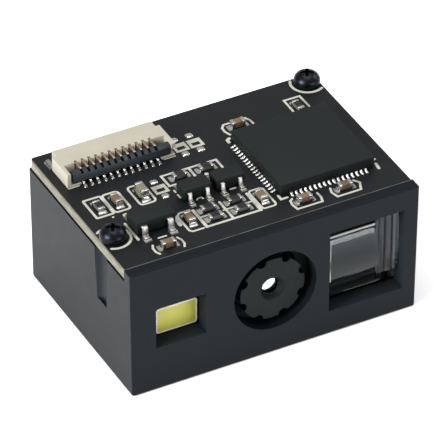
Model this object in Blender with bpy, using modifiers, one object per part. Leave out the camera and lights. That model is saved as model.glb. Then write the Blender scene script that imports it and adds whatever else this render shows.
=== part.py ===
"""Barcode scan engine: a small camera module with a lens, a white LED, an aimer and a circuit board on top.

Sizes are in millimetres and become metres in the helpers. +Z is up, the windows face -Y, and the origin is
at the centre of the underside.
"""

import math

import bmesh
import bpy
from mathutils import Matrix, Vector

MM = 0.001
SEAT = 0.03  # gap between two pieces that rest on each other

# Housing
WIDTH = 21.5
DEPTH = 14.9
SIDE_HEIGHT = 9.0
LIP_HEIGHT = 9.95
LIP_THICKNESS = 0.88
DRAFT = 0.12
WALL = 1.0
FLOOR = 0.9
CORNER_RADIUS = 0.15
FRONT = -DEPTH / 2
INNER_FRONT = FRONT + 1.25
PARTITION_BACK = -1.2

# Optical axis and the three windows: centre x, centre z, width, height
AXIS_X = -0.03
AXIS_Z = 4.95
LED_WINDOW = (-6.985, 5.03, 3.77, 3.25)
AIMER_WINDOW = (6.835, 5.075, 5.63, 6.45)
LENS_HOLE_Z = 5.07
LENS_HOLE_RADIUS = 3.07

# Main board
BOARD_INSET = 0.13
BOARD_HALF_WIDTH = WIDTH / 2 - BOARD_INSET
BOARD_FRONT = FRONT + LIP_THICKNESS + 0.04
BOARD_BACK = DEPTH / 2 - BOARD_INSET
BOARD_TOP = 9.85
BOARD_BOTTOM = SIDE_HEIGHT + SEAT
ON_BOARD = BOARD_TOP + SEAT

# Board screws
SCREW_PLACES = {"board_screw_front_left": (-9.75, -3.05), "board_screw_back_right": (9.8, 6.45)}
SCREW_HEAD_RADIUS = 0.92
SCREW_HEAD_HEIGHT = 0.85
SCREW_RECESS_DEPTH = 0.45
SCREW_RECESS_TURN = -0.49
SCREW_SHANK_RADIUS = 0.42
PILOT_RADIUS = 0.5
PILOT_BOTTOM = 4.6
BOARD_HOLE_RADIUS = 0.6

# Lens: radii about the optical axis, and distances forward of the frame's middle (forward is -Y)
BARREL_RADIUS = 2.42
BORE_RADIUS = 2.49
BARREL_FRONT = 7.04
BARREL_BACK = 2.95
NOTCH_COUNT = 8
NOTCH_RADIUS = 0.36
NOTCH_DEPTH = 0.7
GLASS_RADIUS = 1.62
GLASS_BORE = 1.66
STOP_RADIUS = 0.62

# Flat-cable connector: 12 contacts, 0.5 mm apart
CONTACT_COUNT = 12
CONTACT_PITCH = 0.5
CONTACT_THICKNESS = 0.15
CONNECTOR_X = -6.03
CONNECTOR_LEFT = -9.98
CONNECTOR_RIGHT = -1.98
CONNECTOR_FRONT = 3.1
CONNECTOR_HEIGHT = 1.1
EAR_BACK = 5.42
EAR_WALL = 0.27
BLOCK_FRONT = 4.22
BLOCK_BACK = 6.05
BLOCK_INSET = 0.3
LOCK_PIVOT_Y = 3.72
LOCK_PIVOT_Z = 0.6
LOCK_ROUND = 0.22
LOCK_WINDOW_RADIUS = 0.57

# Decoder chip
CHIP_X = 5.65
CHIP_Y = -0.57
CHIP_SIDE = 7.0
CHIP_HEIGHT = 0.85

# Chip capacitors: x, y, turned along Y, length, width, height
SMALL_CHIP = (1.0, 0.5, 0.5)
CAPACITORS = (
    (-6.97, -5.5, False, SMALL_CHIP),
    (-4.47, -3.7, True, SMALL_CHIP),
    (0.87, -3.7, True, SMALL_CHIP),
    (3.25, -5.25, False, SMALL_CHIP),
    (6.27, -5.25, False, SMALL_CHIP),
    (3.29, 4.21, False, SMALL_CHIP),
    (-7.8, 0.3, True, SMALL_CHIP),
    (-5.97, 0.22, True, (1.1, 0.55, 0.78)),
)

# Chip resistors: x, y, turned along Y
RESISTOR_SIZE = (1.0, 0.5, 0.35)
RESISTORS = (
    (-2.82, 0.9, False),
    (-0.85, 0.9, False),
    (-2.82, -3.15, False),
    (-0.85, -3.15, False),
    (-2.82, -4.2, False),
    (-0.85, -4.2, False),
    (-9.12, 0.27, True),
    (7.9, 4.2, True),
)

# Gull-wing packages: name, x, y, body (x, y, z), lead pitch, lead width, lead exit height, lead tip reach
GULL_WING_CHIPS = (
    ("logic_chip_left", -2.82, -1.2, (2.1, 1.25, 0.95), 0.65, 0.28, 0.68, 1.1),
    ("logic_chip_right", -0.38, -1.2, (2.1, 1.25, 0.95), 0.65, 0.28, 0.68, 1.1),
    ("voltage_regulator", -6.9, -2.92, (2.9, 1.6, 1.08), 0.95, 0.42, 0.78, 1.42),
)
LEAD_THICKNESS = 0.13


def clear_scene():
    for old in list(bpy.data.objects):
        bpy.data.objects.remove(old, do_unlink=True)


clear_scene()
MODEL = bpy.data.collections.new("barcode_scan_engine")
CUTTERS = bpy.data.collections.new("cutters")
bpy.context.scene.collection.children.link(MODEL)
bpy.context.scene.collection.children.link(CUTTERS)
CUTTERS.hide_render = True


def material(name, colour, roughness, metallic=0.0, transmission=0.0):
    made = bpy.data.materials.new(name)
    made.use_nodes = True
    shader = made.node_tree.nodes["Principled BSDF"]
    shader.inputs["Base Color"].default_value = (*colour, 1.0)
    shader.inputs["Roughness"].default_value = roughness
    shader.inputs["Metallic"].default_value = metallic
    shader.inputs["Transmission Weight"].default_value = transmission
    made.diffuse_color = (*colour, 1.0)
    return made


BLACK_PLASTIC = material("black_plastic", (0.032, 0.034, 0.037), 0.55)
LENS_PLASTIC = material("lens_plastic", (0.028, 0.03, 0.034), 0.45)
BOARD_LACQUER = material("board_lacquer", (0.022, 0.023, 0.027), 0.35)
SCREW_STEEL = material("blackened_steel", (0.03, 0.03, 0.033), 0.35, 0.8)
CONNECTOR_CREAM = material("connector_cream", (0.68, 0.62, 0.52), 0.5)
LOCK_BLACK = material("lock_black", (0.025, 0.028, 0.035), 0.45)
TINNED_METAL = material("tinned_metal", (0.72, 0.71, 0.69), 0.3, 1.0)
CHIP_EPOXY = material("chip_epoxy", (0.03, 0.034, 0.034), 0.6)
CERAMIC_BROWN = material("ceramic_brown", (0.2, 0.12, 0.07), 0.5)
CERAMIC_OLIVE = material("ceramic_olive", (0.19, 0.19, 0.12), 0.5)
RESISTOR_BLACK = material("resistor_black", (0.03, 0.03, 0.032), 0.4)
OPTICAL_GLASS = material("optical_glass", (0.95, 0.97, 0.98), 0.02, 0.0, 1.0)
FILTER_GLASS = material("filter_glass", (0.55, 0.75, 0.8), 0.03, 0.0, 0.9)
CLEAR_RESIN = material("clear_resin", (0.85, 0.87, 0.88), 0.08, 0.0, 0.95)
LED_WHITE = material("led_white", (0.82, 0.82, 0.76), 0.45)
PHOSPHOR_YELLOW = material("phosphor_yellow", (0.62, 0.6, 0.12), 0.5)
SENSOR_SILICON = material("sensor_silicon", (0.12, 0.1, 0.16), 0.15, 0.3)


def link(made, paint, collection):
    made.data.materials.append(paint)
    collection.objects.link(made)
    if collection is CUTTERS:
        made.hide_render = True
        made.display_type = "WIRE"
    return made


def bevel(made, width, segments=2, angle=40.0):
    modifier = made.modifiers.new("rounded_edges", "BEVEL")
    modifier.width = width * MM
    modifier.segments = segments
    modifier.limit_method = "ANGLE"
    modifier.angle_limit = math.radians(angle)
    return modifier


def block(name, low, high, paint, collection=MODEL, rounded=0.0, segments=2):
    """A box between two corners, in millimetres, with its origin at its centre."""
    low = Vector(low) * MM
    high = Vector(high) * MM
    mesh = bpy.data.meshes.new(name)
    shape = bmesh.new()
    bmesh.ops.create_cube(shape, size=1.0)
    bmesh.ops.scale(shape, vec=high - low, verts=shape.verts)
    shape.to_mesh(mesh)
    shape.free()
    made = link(bpy.data.objects.new(name, mesh), paint, collection)
    made.location = (low + high) / 2
    if rounded:
        bevel(made, rounded, segments)
    return made


def drum(name, centre, radius, low, high, paint, collection=MODEL, sides=32, top_radius=None, axis="Z"):
    """A cylinder or cone between two heights, or along Y between two depths."""
    mesh = bpy.data.meshes.new(name)
    shape = bmesh.new()
    bmesh.ops.create_cone(
        shape,
        cap_ends=True,
        segments=sides,
        radius1=radius * MM,
        radius2=(top_radius or radius) * MM,
        depth=(high - low) * MM,
    )
    shape.to_mesh(mesh)
    shape.free()
    mesh.shade_smooth()
    mesh.set_sharp_from_angle(angle=math.radians(35))
    made = link(bpy.data.objects.new(name, mesh), paint, collection)
    middle = (low + high) / 2
    if axis == "Z":
        made.location = Vector((centre[0], centre[1], middle)) * MM
    else:
        made.location = Vector((centre[0], middle, centre[1])) * MM
        made.rotation_euler = (-math.pi / 2, 0.0, 0.0)
    return made


def turned(name, profile, paint, place, forward=False, steps=48, closed=True, collection=MODEL):
    """A profile of (radius, height) points turned about its own Z. Forward lays that axis along -Y."""
    mesh = bpy.data.meshes.new(name)
    points = [(radius * MM, 0.0, height * MM) for radius, height in profile]
    edges = [(i, i + 1) for i in range(len(points) - 1)]
    if closed:
        edges.append((len(points) - 1, 0))
    mesh.from_pydata(points, edges, [])
    made = link(bpy.data.objects.new(name, mesh), paint, collection)
    made.location = Vector(place) * MM
    if forward:
        made.rotation_euler = (math.pi / 2, 0.0, 0.0)
    screw = made.modifiers.new("turn", "SCREW")
    screw.steps = steps
    screw.render_steps = steps
    screw.use_merge_vertices = True
    screw.merge_threshold = 1e-7
    return made


def side_outline(name, points, thickness, paint, place, collection=MODEL, bevel_width=0.0):
    """An outline of (y, z) points about the place, made solid along X."""
    curve = bpy.data.curves.new(name, "CURVE")
    curve.dimensions = "2D"
    curve.fill_mode = "BOTH"
    curve.extrude = thickness / 2 * MM
    spline = curve.splines.new("POLY")
    spline.points.add(len(points) - 1)
    for point, (y, z) in zip(spline.points, points):
        point.co = (y * MM, z * MM, 0.0, 1.0)
    spline.use_cyclic_u = True
    made = link(bpy.data.objects.new(name, curve), paint, collection)
    turn = Matrix(((0, 0, 1, 0), (1, 0, 0, 0), (0, 1, 0, 0), (0, 0, 0, 1)))
    made.matrix_world = Matrix.Translation(Vector(place) * MM) @ turn
    if bevel_width:
        bevel(made, bevel_width)
    return made


def front_plate(name, low, high, corner, paint, collection=MODEL, bevel_width=0.0):
    """A plate between two corners whose four edges along Y are rounded to the corner radius."""
    (x_low, y_low, z_low), (x_high, y_high, z_high) = low, high
    points = []
    for x, z, start in (
        (x_high - corner, z_low + corner, -90),
        (x_high - corner, z_high - corner, 0),
        (x_low + corner, z_high - corner, 90),
        (x_low + corner, z_low + corner, 180),
    ):
        for angle in (0, 22.5, 45, 67.5, 90):
            turn = math.radians(start + angle)
            points.append((x + corner * math.cos(turn), z + corner * math.sin(turn)))
    curve = bpy.data.curves.new(name, "CURVE")
    curve.dimensions = "2D"
    curve.fill_mode = "BOTH"
    curve.extrude = (y_high - y_low) / 2 * MM
    spline = curve.splines.new("POLY")
    spline.points.add(len(points) - 1)
    for point, (x, z) in zip(spline.points, points):
        point.co = (x * MM, z * MM, 0.0, 1.0)
    spline.use_cyclic_u = True
    made = link(bpy.data.objects.new(name, curve), paint, collection)
    turn = Matrix(((1, 0, 0, 0), (0, 0, -1, 0), (0, 1, 0, 0), (0, 0, 0, 1)))
    made.matrix_world = Matrix.Translation(Vector((0, (y_low + y_high) / 2, 0)) * MM) @ turn
    solid = as_mesh(made)
    if bevel_width:
        bevel(solid, bevel_width, segments=4)
    return solid


def as_mesh(made):
    """The same object as a welded mesh, so that it can be cut, joined or used as a cutter."""
    bpy.context.view_layer.update()
    graph = bpy.context.evaluated_depsgraph_get()
    mesh = bpy.data.meshes.new_from_object(made.evaluated_get(graph))
    shape = bmesh.new()
    shape.from_mesh(mesh)
    bmesh.ops.remove_doubles(shape, verts=shape.verts, dist=1e-7)
    bmesh.ops.recalc_face_normals(shape, faces=shape.faces)
    shape.to_mesh(mesh)
    shape.free()
    name = made.name
    collection = made.users_collection[0]
    place = made.matrix_world.copy()
    bpy.data.objects.remove(made, do_unlink=True)
    solid = bpy.data.objects.new(name, mesh)
    collection.objects.link(solid)
    solid.matrix_world = place
    if collection is CUTTERS:
        solid.hide_render = True
        solid.display_type = "WIRE"
    return solid


def boolean(target, tool, operation="DIFFERENCE"):
    modifier = target.modifiers.new(tool.name, "BOOLEAN")
    modifier.operation = operation
    modifier.object = tool
    return modifier


def cut_box(target, name, low, high, rounded=0.0):
    boolean(target, block(name, low, high, BLACK_PLASTIC, CUTTERS, rounded))


def joined_boxes(name, boxes):
    """One cutter mesh of several boxes that don't meet."""
    mesh = bpy.data.meshes.new(name)
    shape = bmesh.new()
    for low, high in boxes:
        low = Vector(low) * MM
        high = Vector(high) * MM
        made = bmesh.ops.create_cube(shape, size=1.0)["verts"]
        bmesh.ops.scale(shape, vec=high - low, verts=made)
        bmesh.ops.translate(shape, vec=(low + high) / 2, verts=made)
    shape.to_mesh(mesh)
    shape.free()
    return link(bpy.data.objects.new(name, mesh), BLACK_PLASTIC, CUTTERS)


def make_housing():
    """One moulding: outer block, board recess, chambers, windows, screw bosses and side groove."""
    housing = block(
        "housing",
        (-WIDTH / 2, FRONT, 0),
        (WIDTH / 2, DEPTH / 2, LIP_HEIGHT),
        BLACK_PLASTIC,
    )
    for corner in housing.data.vertices:
        if corner.co.z < 0:
            corner.co.x -= math.copysign(DRAFT * MM, corner.co.x)
    bevel(housing, CORNER_RADIUS, segments=2)
    top = LIP_HEIGHT + 1
    side = WIDTH / 2 + 1
    cut_box(housing, "board_recess", (-side, FRONT + LIP_THICKNESS, SIDE_HEIGHT), (side, DEPTH, top))
    inner = WIDTH / 2 - WALL
    cut_box(housing, "led_chamber", (-inner, INNER_FRONT, FLOOR), (-4.05, 0, top))
    cut_box(housing, "aimer_chamber", (3.95, INNER_FRONT, FLOOR), (inner, 0, top))
    cut_box(housing, "lens_chamber", (-3.5, INNER_FRONT, FLOOR), (3.45, 0, top))
    cut_box(housing, "rear_chamber", (-inner, PARTITION_BACK, FLOOR), (inner, DEPTH / 2 - WALL, top))
    for name, (x, y) in SCREW_PLACES.items():
        boss = drum(name + "_boss", (x, y), 0.95, FLOOR / 2, SIDE_HEIGHT, BLACK_PLASTIC, CUTTERS)
        if y > 0:
            boss.scale = (0.86, 0.86, 1.0)
        boolean(housing, boss, "UNION")
        pilot = drum(name + "_pilot", (x, y), PILOT_RADIUS, PILOT_BOTTOM, top, BLACK_PLASTIC, CUTTERS, 24)
        boolean(housing, pilot)
    groove_depth = 0.34
    groove_radius = 1.5
    groove = drum(
        "side_groove",
        (-WIDTH / 2 - groove_radius + groove_depth, -3.2),
        groove_radius - 0.1,
        5.0,
        SIDE_HEIGHT + 1,
        BLACK_PLASTIC,
        CUTTERS,
        48,
        groove_radius,
    )
    boolean(housing, groove)
    for name, window in (("led_window", LED_WINDOW), ("aimer_window", AIMER_WINDOW)):
        x, z, width, height = window
        cut_box(
            housing,
            name,
            (x - width / 2, FRONT - 1, z - height / 2),
            (x + width / 2, INNER_FRONT + 0.3, z + height / 2),
        )
    hole = drum(
        "lens_hole", (AXIS_X, LENS_HOLE_Z), LENS_HOLE_RADIUS, FRONT - 1, INNER_FRONT + 0.3, BLACK_PLASTIC, CUTTERS, 64,
        axis="Y",
    )
    boolean(housing, hole)
    for index, x in enumerate((-7.5, 7.5)):
        blind = drum(f"mounting_pilot_{index}", (x, 5.0), 0.6, -1.0, 0.55, BLACK_PLASTIC, CUTTERS, 24)
        boolean(housing, blind)


def make_main_board():
    board = block(
        "main_board",
        (-BOARD_HALF_WIDTH, BOARD_FRONT, BOARD_BOTTOM),
        (BOARD_HALF_WIDTH, BOARD_BACK, BOARD_TOP),
        BOARD_LACQUER,
    )
    for index, (x, y) in enumerate(SCREW_PLACES.values()):
        hole = drum(f"board_hole_{index}", (x, y), BOARD_HOLE_RADIUS, 8, 11, BOARD_LACQUER, CUTTERS, 24)
        boolean(board, hole)
    corner = block("board_corner", (-1.5, -1.5, -1), (1.5, 1.5, 1), BOARD_LACQUER, CUTTERS)
    corner.location = Vector((BOARD_HALF_WIDTH + 0.91, BOARD_BACK + 0.91, BOARD_TOP)) * MM
    corner.rotation_euler = (0, 0, math.pi / 4)
    boolean(board, corner)


def make_screws():
    """Pan-head screws with a cross recess. The profile runs from the crown down to the tip."""
    head = SCREW_HEAD_HEIGHT
    edge = SCREW_HEAD_RADIUS
    crown = [
        (edge * math.sin(math.radians(angle)), 0.25 + (head - 0.25) * math.cos(math.radians(angle)))
        for angle in (0, 25, 45, 62, 76, 90)
    ]
    shank = [(edge, 0.0), (SCREW_SHANK_RADIUS, 0.0), (SCREW_SHANK_RADIUS, -4.2), (0.0, -4.6)]
    for name, (x, y) in SCREW_PLACES.items():
        screw = turned(name, crown + shank, SCREW_STEEL, (x, y, ON_BOARD), steps=32, closed=False)
        for turn in (SCREW_RECESS_TURN, SCREW_RECESS_TURN + math.pi / 2):
            arm = block(f"{name}_recess_{turn:.2f}", (-0.56, -0.11, 0), (0.56, 0.11, 1), SCREW_STEEL, CUTTERS)
            arm.location = Vector((x, y, ON_BOARD + head - SCREW_RECESS_DEPTH + 0.5)) * MM
            arm.rotation_euler = (0, 0, turn)
            boolean(screw, arm)


def contact_places():
    """The x of every contact, left to right."""
    first = CONNECTOR_X - CONTACT_PITCH * (CONTACT_COUNT - 1) / 2
    return [first + CONTACT_PITCH * index for index in range(CONTACT_COUNT)]


def make_connector():
    """Cream body: a block with the cable slot at the back, two ears at the front and a channel a contact."""
    left = CONNECTOR_LEFT
    right = CONNECTOR_RIGHT
    top = ON_BOARD + CONNECTOR_HEIGHT - SEAT
    body = block("fpc_connector_body", (left, CONNECTOR_FRONT, ON_BOARD), (right, BLOCK_BACK, top), CONNECTOR_CREAM)
    behind = BLOCK_BACK + 1
    over = top + 1
    cut_box(body, "left_step", (left - 1, EAR_BACK, ON_BOARD - 1), (left + BLOCK_INSET, behind, over))
    cut_box(body, "right_step", (right - BLOCK_INSET, EAR_BACK, ON_BOARD - 1), (right + 1, behind, over))
    cut_box(
        body,
        "lock_bay",
        (left + EAR_WALL, CONNECTOR_FRONT - 1, ON_BOARD + 0.17),
        (right - EAR_WALL, BLOCK_FRONT, over),
    )
    cut_box(
        body,
        "floor_step",
        (left + 1.03, CONNECTOR_FRONT - 1, ON_BOARD - 1),
        (right - 1.03, CONNECTOR_FRONT + 0.3, ON_BOARD + 0.3),
    )
    cut_box(
        body,
        "right_ear_undercut",
        (right - EAR_WALL - 0.1, CONNECTOR_FRONT - 1, ON_BOARD + 0.17),
        (right + 1, CONNECTOR_FRONT + 0.35, ON_BOARD + 0.68),
    )
    cut_box(
        body,
        "cable_slot",
        (left + 0.7, 4.98, ON_BOARD + 0.3),
        (right - 0.7, behind, ON_BOARD + 0.68),
    )
    channel = (
        (2.5, -0.3), (5.75, -0.3), (5.75, 0.84), (4.42, 0.84), (4.42, 1.3),
        (4.1, 1.3), (4.1, 0.36), (2.5, 0.36),
    )
    for index, x in enumerate(contact_places()):
        cutter = side_outline(
            f"contact_channel_{index + 1:02d}", channel, CONTACT_THICKNESS + 0.08, CONNECTOR_CREAM,
            (x, 0, ON_BOARD), CUTTERS,
        )
        boolean(body, as_mesh(cutter))
    make_anchors(left, right)
    make_contacts()
    make_lock(left + EAR_WALL + 0.19, right - EAR_WALL - 0.04)


def make_anchors(left, right):
    for name, inner, outer in (
        ("fpc_anchor_left", left + BLOCK_INSET - 0.03, left - 0.02),
        ("fpc_anchor_right", right - BLOCK_INSET + 0.03, right + 0.02),
    ):
        block(
            name,
            (min(inner, outer), EAR_BACK + 0.03, ON_BOARD),
            (max(inner, outer), BLOCK_BACK + 0.35, ON_BOARD + 0.22),
            TINNED_METAL,
            rounded=0.03,
            segments=1,
        )


def make_contacts():
    """Fork-shaped contacts: solder tail, lower beam, upright web, and an upper beam over the lock's pivot."""
    outline = (
        (2.82, 0.0), (3.22, 0.0), (3.22, 0.08), (5.6, 0.08), (5.6, 0.2), (4.85, 0.2), (4.85, 0.7),
        (5.5, 0.7), (5.5, 0.8), (4.36, 0.8), (4.36, 1.0), (3.55, 1.0), (3.55, 0.9), (3.72, 0.86),
        (4.06, 0.5), (4.55, 0.5), (4.55, 0.2), (3.1, 0.2), (3.02, 0.12), (2.82, 0.12),
    )
    for index, x in enumerate(contact_places()):
        side_outline(
            f"fpc_contact_{index + 1:02d}", outline, CONTACT_THICKNESS, TINNED_METAL, (x, 0, ON_BOARD)
        )


def make_lock(left, right):
    """Flip lock: a bar that turns about the rounded edge behind it, with a round window for each contact's tip."""
    front = CONNECTOR_FRONT + 0.02 - LOCK_PIVOT_Y
    arc = [
        (LOCK_ROUND * math.cos(math.radians(angle)), LOCK_ROUND * math.sin(math.radians(angle)))
        for angle in (-55, -35, -15, 5, 25, 45, 62)
    ]
    outline = [(front + 0.05, -0.33), *arc, (-0.02, 0.335), (front + 0.2, 0.335), (front + 0.05, 0.2)]
    outline += [(front, -0.1), (front, -0.28)]
    middle = (left + right) / 2
    pivot_z = ON_BOARD + LOCK_PIVOT_Z - SEAT
    lock = as_mesh(
        side_outline("fpc_flip_lock", outline, right - left, LOCK_BLACK, (middle, LOCK_PIVOT_Y, pivot_z))
    )
    mesh = bpy.data.meshes.new("lock_windows")
    shape = bmesh.new()
    for x in contact_places():
        made = bmesh.ops.create_cone(
            shape, cap_ends=True, segments=32, radius1=LOCK_WINDOW_RADIUS * MM, radius2=LOCK_WINDOW_RADIUS * MM,
            depth=0.21 * MM, matrix=Matrix.Rotation(math.pi / 2, 4, "Y"),
        )["verts"]
        bmesh.ops.translate(shape, vec=Vector((x, LOCK_PIVOT_Y, pivot_z)) * MM, verts=made)
    shape.to_mesh(mesh)
    shape.free()
    boolean(lock, link(bpy.data.objects.new("lock_windows", mesh), BLACK_PLASTIC, CUTTERS))


def make_decoder_chip():
    half = CHIP_SIDE / 2
    block(
        "decoder_chip",
        (CHIP_X - half, CHIP_Y - half, ON_BOARD),
        (CHIP_X + half, CHIP_Y + half, BOARD_TOP + CHIP_HEIGHT),
        CHIP_EPOXY,
        rounded=0.04,
        segments=1,
    )


def lead_outline(reach, exit_height, sides):
    """Outline of a gull-wing lead that crosses the body, from its front foot to its rear foot."""
    thick = LEAD_THICKNESS
    bend = reach - 0.42
    front = [(-bend, exit_height), (-bend - 0.1, thick), (-reach, thick), (-reach, 0.0), (-bend - 0.02, 0.0)]
    front += [(-bend + 0.1, exit_height - thick)]
    rear = [(-y, z) for y, z in reversed(front)]
    middle = [(0.0, exit_height - thick), (0.0, exit_height)]
    if sides == "rear":
        return middle[:1] + rear + middle[1:]
    if sides == "front":
        return front + middle
    return front + rear


def make_gull_wing_chips():
    """Five-lead packages: two leads in front, three behind."""
    for name, x, y, (long, wide, high), pitch, lead_width, exit_height, reach in GULL_WING_CHIPS:
        body = block(
            name,
            (x - long / 2, y - wide / 2, ON_BOARD + 0.05),
            (x + long / 2, y + wide / 2, BOARD_TOP + high),
            CHIP_EPOXY,
        )
        for corner in body.data.vertices:
            if corner.co.z > 0:
                corner.co.x -= math.copysign(0.06 * MM, corner.co.x)
                corner.co.y -= math.copysign(0.09 * MM, corner.co.y)
        bevel(body, 0.03, segments=1)
        for index, sides in enumerate(("both", "rear", "both")):
            lead = side_outline(
                f"{name}_lead_{index + 1}",
                lead_outline(reach, exit_height, sides),
                lead_width,
                TINNED_METAL,
                (x + pitch * (index - 1), y, ON_BOARD),
                CUTTERS,
            )
            boolean(body, as_mesh(lead), "UNION")


def chip_part(name, x, y, along_y, size, paint):
    """A ceramic chip part: a softly rounded brick."""
    length, width, height = size
    if along_y:
        length, width = width, length
    return block(
        name,
        (x - length / 2, y - width / 2, ON_BOARD),
        (x + length / 2, y + width / 2, BOARD_TOP + height),
        paint,
        rounded=0.04,
        segments=1,
    )


def make_chip_parts():
    for index, (x, y, along_y, size) in enumerate(CAPACITORS):
        paint = CERAMIC_BROWN if size is SMALL_CHIP else CERAMIC_OLIVE
        chip_part(f"capacitor_{index + 1}", x, y, along_y, size, paint)
    for index, (x, y, along_y) in enumerate(RESISTORS):
        chip_part(f"resistor_{index + 1}", x, y, along_y, RESISTOR_SIZE, RESISTOR_BLACK)


def domed(radius, rise, steps=5):
    """Points of a shallow dome from its crown to its rim: (radius, height over the rim)."""
    sphere = (radius * radius + rise * rise) / (2 * rise)
    reach = math.asin(radius / sphere)
    angles = [reach * step / steps for step in range(steps + 1)]
    return [(sphere * math.sin(angle), sphere * math.cos(angle) - sphere + rise) for angle in angles]


def make_lens():
    """Barrel with focus notches, two glasses and the spacer between them, all on the optical axis."""
    place = (AXIS_X, 0, AXIS_Z)
    barrel = turned(
        "lens_barrel",
        (
            (STOP_RADIUS + 0.2, BARREL_FRONT - 0.05), (STOP_RADIUS + 0.26, BARREL_FRONT),
            (BARREL_RADIUS - 0.08, BARREL_FRONT), (BARREL_RADIUS, BARREL_FRONT - 0.08),
            (BARREL_RADIUS, BARREL_BACK), (GLASS_BORE, BARREL_BACK), (GLASS_BORE, 6.6),
            (STOP_RADIUS, 6.6), (STOP_RADIUS, 6.72),
        ),
        LENS_PLASTIC,
        place,
        forward=True,
        steps=64,
    )
    for index in range(NOTCH_COUNT):
        angle = math.radians(20) + 2 * math.pi * index / NOTCH_COUNT
        reach = BARREL_RADIUS + 0.02
        notch = drum(
            f"focus_notch_{index + 1}",
            (AXIS_X + reach * math.cos(angle), AXIS_Z + reach * math.sin(angle)),
            NOTCH_RADIUS,
            -BARREL_FRONT - 0.5,
            -BARREL_FRONT + NOTCH_DEPTH,
            LENS_PLASTIC,
            CUTTERS,
            16,
            axis="Y",
        )
        boolean(barrel, notch)
    front_rim = 6.22
    front = [(radius, front_rim + rise) for radius, rise in domed(GLASS_RADIUS, 0.3)]
    turned("front_glass", front + [(GLASS_RADIUS, 5.55), (0.0, 5.55)], OPTICAL_GLASS, place, True, 40, False)
    rear = [(0.0, 4.4), (GLASS_RADIUS, 4.4)]
    back = [(radius, 3.75 - rise) for radius, rise in reversed(domed(GLASS_RADIUS, 0.3))]
    turned("rear_glass", rear + back, OPTICAL_GLASS, place, True, 40, False)
    ring = ((1.15, 5.5), (GLASS_RADIUS, 5.5), (GLASS_RADIUS, 4.45), (1.15, 4.45))
    turned("glass_spacer", ring, LENS_PLASTIC, place, True, 40)


def make_lens_holder():
    """Threaded tube with a square foot that covers the sensor."""
    holder = turned(
        "lens_holder",
        (
            (BORE_RADIUS, 5.85), (3.3, 5.85), (3.3, 1.5), (1.9, 1.5), (1.9, 2.6), (BORE_RADIUS, 2.6),
        ),
        LENS_PLASTIC,
        (AXIS_X, 0, AXIS_Z),
        forward=True,
        steps=48,
    )
    foot = block("holder_foot", (-3.3, -2.2, 1.45), (3.3, -0.95, 8.65), LENS_PLASTIC, CUTTERS)
    boolean(holder, foot, "UNION")
    cut_box(holder, "sensor_pocket", (AXIS_X - 2.5, -2.2, AXIS_Z - 2.5), (AXIS_X + 2.5, 0, AXIS_Z + 2.5))
    through = drum("light_path", (AXIS_X, AXIS_Z), 1.9, -3, 0, LENS_PLASTIC, CUTTERS, 40, axis="Y")
    boolean(holder, through)


def make_sensor():
    block("infrared_filter", (AXIS_X - 2.3, -2.17, AXIS_Z - 2.3), (AXIS_X + 2.3, -1.87, AXIS_Z + 2.3), FILTER_GLASS)
    block("image_sensor", (AXIS_X - 2.2, -1.6, AXIS_Z - 1.8), (AXIS_X + 2.2, -0.93, AXIS_Z + 1.8), SENSOR_SILICON)
    block("sensor_board", (-4.8, -0.9, 1.1), (4.8, -0.1, 8.7), BOARD_LACQUER)
    header = block("sensor_header", (-3.3, -0.06, 7.3), (3.3, 1.6, 8.95), BLACK_PLASTIC)
    tails = [((-2.8 + 0.8 * i, 1.0, 6.6), (-2.5 + 0.8 * i, 1.3, 7.6)) for i in range(8)]
    boolean(header, joined_boxes("header_tails", tails), "UNION")


def make_illumination():
    """White LED package with its phosphor in a shallow well, on an upright board."""
    x, z = -6.69, 4.46
    wide, high = 3.04, 2.03
    face = -6.15
    back = -5.45
    package = front_plate(
        "illumination_led", (x - wide / 2, face, z - high / 2), (x + wide / 2, back, z + high / 2), 0.2, LED_WHITE
    )
    rim = 0.1
    cut_box(
        package,
        "phosphor_well",
        (x - wide / 2 + rim, face - 1, z - high / 2 + rim),
        (x + wide / 2 - rim, face + 0.35, z + high / 2 - rim),
        rounded=0.12,
    )
    fill = rim + 0.02
    block(
        "led_phosphor",
        (x - wide / 2 + fill, face + 0.03, z - high / 2 + fill),
        (x + wide / 2 - fill, face + 0.33, z + high / 2 - fill),
        PHOSPHOR_YELLOW,
        rounded=0.12,
    )
    block("illumination_board", (-9.4, back + SEAT, 1.1), (-4.3, back + 0.8, 8.8), BOARD_LACQUER)


def lens_bar(name, low, high, apex, edge, base, turn=0.25, steps=12):
    """A bar along X with a bulging front and rounded ends. Low and high are its (x, z) corners."""
    middle = (low[1] + high[1]) / 2
    half = (high[1] - low[1]) / 2
    sagitta = edge - apex
    radius = (half * half + sagitta * sagitta) / (2 * sagitta)
    reach = math.asin(half / radius)
    ends = [(turn * (1 - math.sin(math.radians(a))), turn * (1 - math.cos(math.radians(a)))) for a in (90, 60, 30, 0)]
    stations = [(low[0] + along, inset) for along, inset in ends]
    stations += [(high[0] - along, inset) for along, inset in reversed(ends)]
    shape = bmesh.new()
    rings = []
    for x, inset in stations:
        shrink = (half - inset) / half
        ring = []
        for step in range(steps + 1):
            angle = -reach + 2 * reach * step / steps
            y = apex + radius - radius * math.cos(angle) + inset
            ring.append(shape.verts.new(Vector((x, y, middle + radius * math.sin(angle) * shrink)) * MM))
        for z in (half * shrink, -half * shrink):
            ring.append(shape.verts.new(Vector((x, base, middle + z)) * MM))
        rings.append(ring)
    for ring, after in zip(rings, rings[1:]):
        for index, corner in enumerate(ring):
            following = (index + 1) % len(ring)
            shape.faces.new((corner, ring[following], after[following], after[index]))
    shape.faces.new(rings[0])
    shape.faces.new(rings[-1])
    bmesh.ops.recalc_face_normals(shape, faces=shape.faces)
    mesh = bpy.data.meshes.new(name)
    shape.to_mesh(mesh)
    shape.free()
    return link(bpy.data.objects.new(name, mesh), CLEAR_RESIN, MODEL)


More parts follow.
